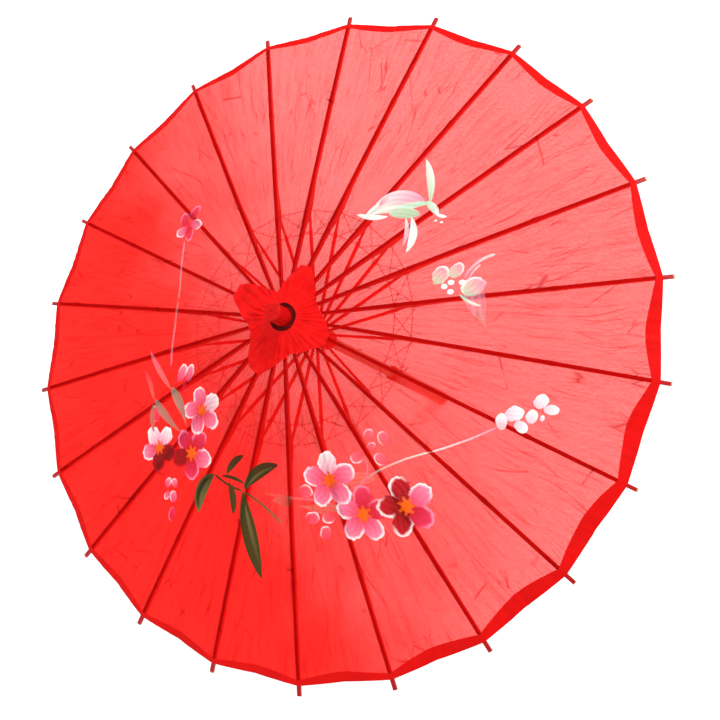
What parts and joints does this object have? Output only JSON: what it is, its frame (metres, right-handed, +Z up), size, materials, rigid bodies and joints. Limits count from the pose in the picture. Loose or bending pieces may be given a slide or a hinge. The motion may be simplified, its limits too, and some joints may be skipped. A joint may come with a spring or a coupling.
{
  "type": "folding parasol",
  "caption": "Open folding parasol: painted cloth canopy on thin bamboo ribs and stretchers that fold with a sliding runner on a wooden shaft with a turned handle.",
  "frame": {"origin": "bottom centre of the handle, on the shaft's axis", "axes": "+Z up the shaft to the finial; +X along rib_01, away from the shaft"},
  "size_m": [0.8388, 0.8308, 0.542],
  "materials": {
    "rib_bamboo": "painted red, satin",
    "stretcher_bamboo": "painted red, satin",
    "shaft_wood": "stained and varnished",
    "handle_wood": "dark stain, satin varnish",
    "red_wood": "red lacquer, satin",
    "thread": "twisted cotton, matte",
    "canopy_cloth": "sheer woven cloth with painted blossoms",
    "cap_cloth": "same cloth, doubled and glued",
    "pin_steel": "drawn wire",
    "catch_bamboo": "bare bamboo"
  },
  "bodies": {
    "root": {"shaft": "shaft_wood", "handle": "handle_wood", "finial": "red_wood", "top_hub": "red_wood", "hub_thread": "thread", "catch_pin": "pin_steel", "upper_stop_pin": "pin_steel", "canopy": "canopy_cloth", "top_cap": "cap_cloth", "joint_thread": "thread", "inner_thread": "thread", "lacing_thread_a": "thread", "lacing_thread_b": "thread"},
    "rib_01": {"rib_01": "rib_bamboo"},
    "rib_02": {"rib_02": "rib_bamboo"},
    "rib_03": {"rib_03": "rib_bamboo"},
    "rib_04": {"rib_04": "rib_bamboo"},
    "rib_05": {"rib_05": "rib_bamboo"},
    "rib_06": {"rib_06": "rib_bamboo"},
    "rib_07": {"rib_07": "rib_bamboo"},
    "rib_08": {"rib_08": "rib_bamboo"},
    "rib_09": {"rib_09": "rib_bamboo"},
    "rib_10": {"rib_10": "rib_bamboo"},
    "rib_11": {"rib_11": "rib_bamboo"},
    "rib_12": {"rib_12": "rib_bamboo"},
    "rib_13": {"rib_13": "rib_bamboo"},
    "rib_14": {"rib_14": "rib_bamboo"},
    "rib_15": {"rib_15": "rib_bamboo"},
    "rib_16": {"rib_16": "rib_bamboo"},
    "rib_17": {"rib_17": "rib_bamboo"},
    "rib_18": {"rib_18": "rib_bamboo"},
    "rib_19": {"rib_19": "rib_bamboo"},
    "rib_20": {"rib_20": "rib_bamboo"},
    "rib_21": {"rib_21": "rib_bamboo"},
    "rib_22": {"rib_22": "rib_bamboo"},
    "stretcher_01": {"stretcher_01": "stretcher_bamboo"},
    "stretcher_02": {"stretcher_02": "stretcher_bamboo"},
    "stretcher_03": {"stretcher_03": "stretcher_bamboo"},
    "stretcher_04": {"stretcher_04": "stretcher_bamboo"},
    "stretcher_05": {"stretcher_05": "stretcher_bamboo"},
    "stretcher_06": {"stretcher_06": "stretcher_bamboo"},
    "stretcher_07": {"stretcher_07": "stretcher_bamboo"},
    "stretcher_08": {"stretcher_08": "stretcher_bamboo"},
    "stretcher_09": {"stretcher_09": "stretcher_bamboo"},
    "stretcher_10": {"stretcher_10": "stretcher_bamboo"},
    "stretcher_11": {"stretcher_11": "stretcher_bamboo"},
    "stretcher_12": {"stretcher_12": "stretcher_bamboo"},
    "stretcher_13": {"stretcher_13": "stretcher_bamboo"},
    "stretcher_14": {"stretcher_14": "stretcher_bamboo"},
    "stretcher_15": {"stretcher_15": "stretcher_bamboo"},
    "stretcher_16": {"stretcher_16": "stretcher_bamboo"},
    "stretcher_17": {"stretcher_17": "stretcher_bamboo"},
    "stretcher_18": {"stretcher_18": "stretcher_bamboo"},
    "stretcher_19": {"stretcher_19": "stretcher_bamboo"},
    "stretcher_20": {"stretcher_20": "stretcher_bamboo"},
    "stretcher_21": {"stretcher_21": "stretcher_bamboo"},
    "stretcher_22": {"stretcher_22": "stretcher_bamboo"},
    "runner": {"runner": "red_wood", "runner_thread": "thread"},
    "catch": {"runner_catch": "catch_bamboo"}
  },
  "joints": [
    {"name": "canopy_fold", "type": "hinge", "parent": "root", "child": "rib_01", "pos_m": [0.0135, 0, 0.50993], "axis": [0, 1, 0], "range_deg": [0, 70], "deforming": ["canopy", "top_cap", "joint_thread", "inner_thread", "lacing_thread_a", "lacing_thread_b"]},
    {"name": "rib_02_fold", "type": "hinge", "parent": "root", "child": "rib_02", "pos_m": [0.01295, 0.0038, 0.50993], "axis": [-0.2817, 0.9595, 0], "range_deg": [0, 70]},
    {"name": "rib_03_fold", "type": "hinge", "parent": "root", "child": "rib_03", "pos_m": [0.01136, 0.0073, 0.50993], "axis": [-0.5406, 0.8413, 0], "range_deg": [0, 70]},
    {"name": "rib_04_fold", "type": "hinge", "parent": "root", "child": "rib_04", "pos_m": [0.00884, 0.0102, 0.50993], "axis": [-0.7557, 0.6549, 0], "range_deg": [0, 70]},
    {"name": "rib_05_fold", "type": "hinge", "parent": "root", "child": "rib_05", "pos_m": [0.00561, 0.01228, 0.50993], "axis": [-0.9096, 0.4154, 0], "range_deg": [0, 70]},
    {"name": "rib_06_fold", "type": "hinge", "parent": "root", "child": "rib_06", "pos_m": [0.00192, 0.01336, 0.50993], "axis": [-0.9898, 0.1423, 0], "range_deg": [0, 70]},
    {"name": "rib_07_fold", "type": "hinge", "parent": "root", "child": "rib_07", "pos_m": [-0.00192, 0.01336, 0.50993], "axis": [-0.9898, -0.1423, 0], "range_deg": [0, 70]},
    {"name": "rib_08_fold", "type": "hinge", "parent": "root", "child": "rib_08", "pos_m": [-0.00561, 0.01228, 0.50993], "axis": [-0.9096, -0.4154, 0], "range_deg": [0, 70]},
    {"name": "rib_09_fold", "type": "hinge", "parent": "root", "child": "rib_09", "pos_m": [-0.00884, 0.0102, 0.50993], "axis": [-0.7557, -0.6549, 0], "range_deg": [0, 70]},
    {"name": "rib_10_fold", "type": "hinge", "parent": "root", "child": "rib_10", "pos_m": [-0.01136, 0.0073, 0.50993], "axis": [-0.5406, -0.8413, 0], "range_deg": [0, 70]},
    {"name": "rib_11_fold", "type": "hinge", "parent": "root", "child": "rib_11", "pos_m": [-0.01295, 0.0038, 0.50993], "axis": [-0.2817, -0.9595, 0], "range_deg": [0, 70]},
    {"name": "rib_12_fold", "type": "hinge", "parent": "root", "child": "rib_12", "pos_m": [-0.0135, 0, 0.50993], "axis": [0, -1, 0], "range_deg": [0, 70]},
    {"name": "rib_13_fold", "type": "hinge", "parent": "root", "child": "rib_13", "pos_m": [-0.01295, -0.0038, 0.50993], "axis": [0.2817, -0.9595, 0], "range_deg": [0, 70]},
    {"name": "rib_14_fold", "type": "hinge", "parent": "root", "child": "rib_14", "pos_m": [-0.01136, -0.0073, 0.50993], "axis": [0.5406, -0.8413, 0], "range_deg": [0, 70]},
    {"name": "rib_15_fold", "type": "hinge", "parent": "root", "child": "rib_15", "pos_m": [-0.00884, -0.0102, 0.50993], "axis": [0.7557, -0.6549, 0], "range_deg": [0, 70]},
    {"name": "rib_16_fold", "type": "hinge", "parent": "root", "child": "rib_16", "pos_m": [-0.00561, -0.01228, 0.50993], "axis": [0.9096, -0.4154, 0], "range_deg": [0, 70]},
    {"name": "rib_17_fold", "type": "hinge", "parent": "root", "child": "rib_17", "pos_m": [-0.00192, -0.01336, 0.50993], "axis": [0.9898, -0.1423, 0], "range_deg": [0, 70]},
    {"name": "rib_18_fold", "type": "hinge", "parent": "root", "child": "rib_18", "pos_m": [0.00192, -0.01336, 0.50993], "axis": [0.9898, 0.1423, 0], "range_deg": [0, 70]},
    {"name": "rib_19_fold", "type": "hinge", "parent": "root", "child": "rib_19", "pos_m": [0.00561, -0.01228, 0.50993], "axis": [0.9096, 0.4154, 0], "range_deg": [0, 70]},
    {"name": "rib_20_fold", "type": "hinge", "parent": "root", "child": "rib_20", "pos_m": [0.00884, -0.0102, 0.50993], "axis": [0.7557, 0.6549, 0], "range_deg": [0, 70]},
    {"name": "rib_21_fold", "type": "hinge", "parent": "root", "child": "rib_21", "pos_m": [0.01136, -0.0073, 0.50993], "axis": [0.5406, 0.8413, 0], "range_deg": [0, 70]},
    {"name": "rib_22_fold", "type": "hinge", "parent": "root", "child": "rib_22", "pos_m": [0.01295, -0.0038, 0.50993], "axis": [0.2817, 0.9595, 0], "range_deg": [0, 70]},
    {"name": "stretcher_01_swing", "type": "hinge", "parent": "rib_01", "child": "stretcher_01", "pos_m": [0.141, 0, 0.47052], "axis": [0, 1, 0], "range_deg": [-140, 0]},
    {"name": "stretcher_02_swing", "type": "hinge", "parent": "rib_02", "child": "stretcher_02", "pos_m": [0.13529, 0.03972, 0.47052], "axis": [-0.2817, 0.9595, 0], "range_deg": [-140, 0]},
    {"name": "stretcher_03_swing", "type": "hinge", "parent": "rib_03", "child": "stretcher_03", "pos_m": [0.11862, 0.07623, 0.47052], "axis": [-0.5406, 0.8413, 0], "range_deg": [-140, 0]},
    {"name": "stretcher_04_swing", "type": "hinge", "parent": "rib_04", "child": "stretcher_04", "pos_m": [0.09234, 0.10656, 0.47052], "axis": [-0.7557, 0.6549, 0], "range_deg": [-140, 0]},
    {"name": "stretcher_05_swing", "type": "hinge", "parent": "rib_05", "child": "stretcher_05", "pos_m": [0.05857, 0.12826, 0.47052], "axis": [-0.9096, 0.4154, 0], "range_deg": [-140, 0]},
    {"name": "stretcher_06_swing", "type": "hinge", "parent": "rib_06", "child": "stretcher_06", "pos_m": [0.02007, 0.13956, 0.47052], "axis": [-0.9898, 0.1423, 0], "range_deg": [-140, 0]},
    {"name": "stretcher_07_swing", "type": "hinge", "parent": "rib_07", "child": "stretcher_07", "pos_m": [-0.02007, 0.13956, 0.47052], "axis": [-0.9898, -0.1423, 0], "range_deg": [-140, 0]},
    {"name": "stretcher_08_swing", "type": "hinge", "parent": "rib_08", "child": "stretcher_08", "pos_m": [-0.05857, 0.12826, 0.47052], "axis": [-0.9096, -0.4154, 0], "range_deg": [-140, 0]},
    {"name": "stretcher_09_swing", "type": "hinge", "parent": "rib_09", "child": "stretcher_09", "pos_m": [-0.09234, 0.10656, 0.47052], "axis": [-0.7557, -0.6549, 0], "range_deg": [-140, 0]},
    {"name": "stretcher_10_swing", "type": "hinge", "parent": "rib_10", "child": "stretcher_10", "pos_m": [-0.11862, 0.07623, 0.47052], "axis": [-0.5406, -0.8413, 0], "range_deg": [-140, 0]},
    {"name": "stretcher_11_swing", "type": "hinge", "parent": "rib_11", "child": "stretcher_11", "pos_m": [-0.13529, 0.03972, 0.47052], "axis": [-0.2817, -0.9595, 0], "range_deg": [-140, 0]},
    {"name": "stretcher_12_swing", "type": "hinge", "parent": "rib_12", "child": "stretcher_12", "pos_m": [-0.141, 0, 0.47052], "axis": [0, -1, 0], "range_deg": [-140, 0]},
    {"name": "stretcher_13_swing", "type": "hinge", "parent": "rib_13", "child": "stretcher_13", "pos_m": [-0.13529, -0.03972, 0.47052], "axis": [0.2817, -0.9595, 0], "range_deg": [-140, 0]},
    {"name": "stretcher_14_swing", "type": "hinge", "parent": "rib_14", "child": "stretcher_14", "pos_m": [-0.11862, -0.07623, 0.47052], "axis": [0.5406, -0.8413, 0], "range_deg": [-140, 0]},
    {"name": "stretcher_15_swing", "type": "hinge", "parent": "rib_15", "child": "stretcher_15", "pos_m": [-0.09234, -0.10656, 0.47052], "axis": [0.7557, -0.6549, 0], "range_deg": [-140, 0]},
    {"name": "stretcher_16_swing", "type": "hinge", "parent": "rib_16", "child": "stretcher_16", "pos_m": [-0.05857, -0.12826, 0.47052], "axis": [0.9096, -0.4154, 0], "range_deg": [-140, 0]},
    {"name": "stretcher_17_swing", "type": "hinge", "parent": "rib_17", "child": "stretcher_17", "pos_m": [-0.02007, -0.13956, 0.47052], "axis": [0.9898, -0.1423, 0], "range_deg": [-140, 0]},
    {"name": "stretcher_18_swing", "type": "hinge", "parent": "rib_18", "child": "stretcher_18", "pos_m": [0.02007, -0.13956, 0.47052], "axis": [0.9898, 0.1423, 0], "range_deg": [-140, 0]},
    {"name": "stretcher_19_swing", "type": "hinge", "parent": "rib_19", "child": "stretcher_19", "pos_m": [0.05857, -0.12826, 0.47052], "axis": [0.9096, 0.4154, 0], "range_deg": [-140, 0]},
    {"name": "stretcher_20_swing", "type": "hinge", "parent": "rib_20", "child": "stretcher_20", "pos_m": [0.09234, -0.10656, 0.47052], "axis": [0.7557, 0.6549, 0], "range_deg": [-140, 0]},
    {"name": "stretcher_21_swing", "type": "hinge", "parent": "rib_21", "child": "stretcher_21", "pos_m": [0.11862, -0.07623, 0.47052], "axis": [0.5406, 0.8413, 0], "range_deg": [-140, 0]},
    {"name": "stretcher_22_swing", "type": "hinge", "parent": "rib_22", "child": "stretcher_22", "pos_m": [0.13529, -0.03972, 0.47052], "axis": [0.2817, 0.9595, 0], "range_deg": [-140, 0]},
    {"name": "runner_travel", "type": "hinge", "parent": "stretcher_01", "child": "runner", "pos_m": [0.0135, 0, 0.43111], "axis": [0, 1, 0], "range_deg": [0, 70]},
    {"name": "catch_press", "type": "hinge", "parent": "root", "child": "catch", "pos_m": [0.001, 0, 0.36831], "axis": [0, 1, 0], "range_deg": [0, 8], "stiffness_Nm_per_rad": 0.01, "springref_deg": 17.19}
  ],
  "couplings": [
    {"joint": "rib_02_fold", "follows": "canopy_fold", "ratio": 1},
    {"joint": "rib_03_fold", "follows": "canopy_fold", "ratio": 1},
    {"joint": "rib_04_fold", "follows": "canopy_fold", "ratio": 1},
    {"joint": "rib_05_fold", "follows": "canopy_fold", "ratio": 1},
    {"joint": "rib_06_fold", "follows": "canopy_fold", "ratio": 1},
    {"joint": "rib_07_fold", "follows": "canopy_fold", "ratio": 1},
    {"joint": "rib_08_fold", "follows": "canopy_fold", "ratio": 1},
    {"joint": "rib_09_fold", "follows": "canopy_fold", "ratio": 1},
    {"joint": "rib_10_fold", "follows": "canopy_fold", "ratio": 1},
    {"joint": "rib_11_fold", "follows": "canopy_fold", "ratio": 1},
    {"joint": "rib_12_fold", "follows": "canopy_fold", "ratio": 1},
    {"joint": "rib_13_fold", "follows": "canopy_fold", "ratio": 1},
    {"joint": "rib_14_fold", "follows": "canopy_fold", "ratio": 1},
    {"joint": "rib_15_fold", "follows": "canopy_fold", "ratio": 1},
    {"joint": "rib_16_fold", "follows": "canopy_fold", "ratio": 1},
    {"joint": "rib_17_fold", "follows": "canopy_fold", "ratio": 1},
    {"joint": "rib_18_fold", "follows": "canopy_fold", "ratio": 1},
    {"joint": "rib_19_fold", "follows": "canopy_fold", "ratio": 1},
    {"joint": "rib_20_fold", "follows": "canopy_fold", "ratio": 1},
    {"joint": "rib_21_fold", "follows": "canopy_fold", "ratio": 1},
    {"joint": "rib_22_fold", "follows": "canopy_fold", "ratio": 1},
    {"joint": "stretcher_01_swing", "follows": "canopy_fold", "ratio": -2},
    {"joint": "stretcher_02_swing", "follows": "canopy_fold", "ratio": -2},
    {"joint": "stretcher_03_swing", "follows": "canopy_fold", "ratio": -2},
    {"joint": "stretcher_04_swing", "follows": "canopy_fold", "ratio": -2},
    {"joint": "stretcher_05_swing", "follows": "canopy_fold", "ratio": -2},
    {"joint": "stretcher_06_swing", "follows": "canopy_fold", "ratio": -2},
    {"joint": "stretcher_07_swing", "follows": "canopy_fold", "ratio": -2},
    {"joint": "stretcher_08_swing", "follows": "canopy_fold", "ratio": -2},
    {"joint": "stretcher_09_swing", "follows": "canopy_fold", "ratio": -2},
    {"joint": "stretcher_10_swing", "follows": "canopy_fold", "ratio": -2},
    {"joint": "stretcher_11_swing", "follows": "canopy_fold", "ratio": -2},
    {"joint": "stretcher_12_swing", "follows": "canopy_fold", "ratio": -2},
    {"joint": "stretcher_13_swing", "follows": "canopy_fold", "ratio": -2},
    {"joint": "stretcher_14_swing", "follows": "canopy_fold", "ratio": -2},
    {"joint": "stretcher_15_swing", "follows": "canopy_fold", "ratio": -2},
    {"joint": "stretcher_16_swing", "follows": "canopy_fold", "ratio": -2},
    {"joint": "stretcher_17_swing", "follows": "canopy_fold", "ratio": -2},
    {"joint": "stretcher_18_swing", "follows": "canopy_fold", "ratio": -2},
    {"joint": "stretcher_19_swing", "follows": "canopy_fold", "ratio": -2},
    {"joint": "stretcher_20_swing", "follows": "canopy_fold", "ratio": -2},
    {"joint": "stretcher_21_swing", "follows": "canopy_fold", "ratio": -2},
    {"joint": "stretcher_22_swing", "follows": "canopy_fold", "ratio": -2},
    {"joint": "runner_travel", "follows": "canopy_fold", "ratio": 1}
  ]
}
